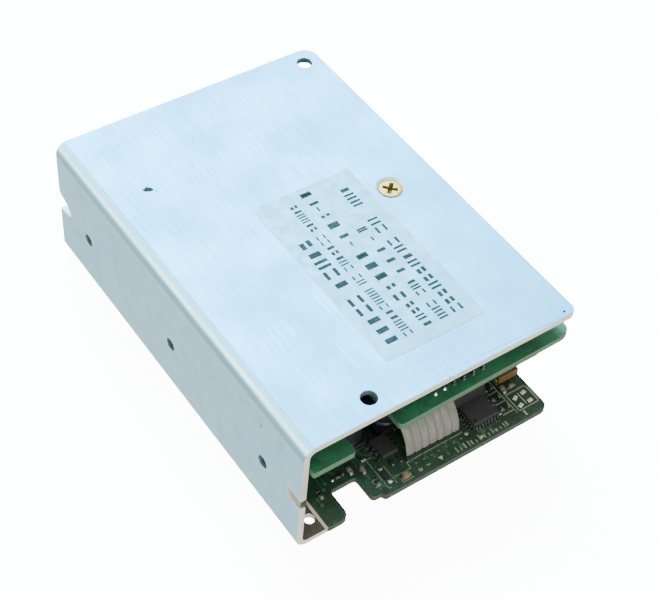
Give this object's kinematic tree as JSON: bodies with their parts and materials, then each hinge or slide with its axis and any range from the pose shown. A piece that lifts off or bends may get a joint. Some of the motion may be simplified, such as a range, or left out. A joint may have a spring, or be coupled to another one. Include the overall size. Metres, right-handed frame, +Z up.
{
  "type": "servo drive",
  "caption": "Open-frame servo drive: two stacked circuit boards in a C-shaped plated-steel bracket, with a short ribbon cable, rear sockets and trimmer screws.",
  "frame": {"origin": "bottom centre of the whole drive's box, on the plane of the bracket's bottom lip", "axes": "+Z up through the labelled top plate; +Y along the bracket from the open front, where the lower board sticks out, to the rear sockets; the side wall is at -X and the open side at +X"},
  "size_m": [0.069, 0.1074, 0.0336],
  "materials": {
    "black_plastic": "moulded black thermoplastic",
    "board_green": "glass-epoxy board with green solder mask",
    "bright_can": "bright nickel-plated can",
    "capacitor_sleeve": "shrunk black sleeve on an aluminium can",
    "connector_white": "natural off-white connector plastic",
    "ferrite": "dark sintered ferrite",
    "fuse_ceramic": "white ceramic body",
    "label_foil": "thin silver label, satin",
    "light_red": "tinted red lens on a moulded block",
    "nickel_brass": "nickel-plated brass",
    "nylon": "natural nylon",
    "package_black": "moulded epoxy package, fine matte grain",
    "ribbon_grey": "grey-white flat ribbon insulation",
    "silicone_grey": "thermally conductive silicone sheet",
    "tantalum_epoxy": "orange-brown moulded epoxy",
    "trimmer_blue": "blue moulded trimmer case",
    "yellow_zinc": "yellow-passivated zinc on a steel screw",
    "zinc_steel": "blue-passivated zinc plate on rolled sheet steel"
  },
  "bodies": {
    "drive": {"board_spacer_front_left": "nylon", "board_spacer_rear_left": "nylon", "board_spacer_rear_right": "nylon", "bottom_standoff": "nickel_brass", "bulk_capacitor_1": "capacitor_sleeve", "bulk_capacitor_2": "capacitor_sleeve", "bulk_capacitor_3": "capacitor_sleeve", "chassis_bracket": "zinc_steel", "control_ic": "package_black", "crystal": "bright_can", "current_sense_ic": "package_black", "filter_capacitor_1": "capacitor_sleeve", "filter_capacitor_2": "capacitor_sleeve", "gain_trimmer_body": "trimmer_blue", "gate_driver_1": "package_black", "gate_driver_2": "package_black", "gate_driver_3": "package_black", "hall_connector": "connector_white", "input_fuse": "fuse_ceramic", "limit_trimmer_body": "trimmer_blue", "link_header": "black_plastic", "lower_board": "board_green", "memory_ic": "package_black", "microcontroller": "package_black", "middle_standoff": "nickel_brass", "motor_connector": "connector_white", "optocoupler_1": "connector_white", "optocoupler_2": "connector_white", "optocoupler_3": "connector_white", "optocoupler_4": "connector_white", "plate_screw": "yellow_zinc", "power_connector": "connector_white", "power_inductor": "ferrite", "power_transistor_1": "package_black", "power_transistor_2": "package_black", "power_transistor_3": "package_black", "power_transistor_4": "package_black", "power_transistor_5": "package_black", "power_transistor_6": "package_black", "rating_label": "label_foil", "resistor_network": "black_plastic", "ribbon_cable": "ribbon_grey", "ribbon_socket": "black_plastic", "shunt_resistor_1": "package_black", "shunt_resistor_2": "package_black", "signal_connector": "connector_white", "status_light": "light_red", "surge_diode": "package_black", "tantalum_capacitor": "tantalum_epoxy", "thermal_pad": "silicone_grey", "upper_board": "board_green", "upper_standoff": "nickel_brass"},
    "gain_rotor": {"gain_trimmer_rotor": "connector_white"},
    "limit_rotor": {"limit_trimmer_rotor": "connector_white"}
  },
  "joints": [
    {"name": "gain_trimmer_turn", "type": "hinge", "parent": "drive", "child": "gain_rotor", "pos_m": [-0.0145, 0.0523, 0.0292], "axis": [0, 1, 0], "range_deg": [-130, 130]},
    {"name": "limit_trimmer_turn", "type": "hinge", "parent": "drive", "child": "limit_rotor", "pos_m": [-0.0025, 0.0523, 0.0292], "axis": [0, 1, 0], "range_deg": [-130, 130]}
  ]
}
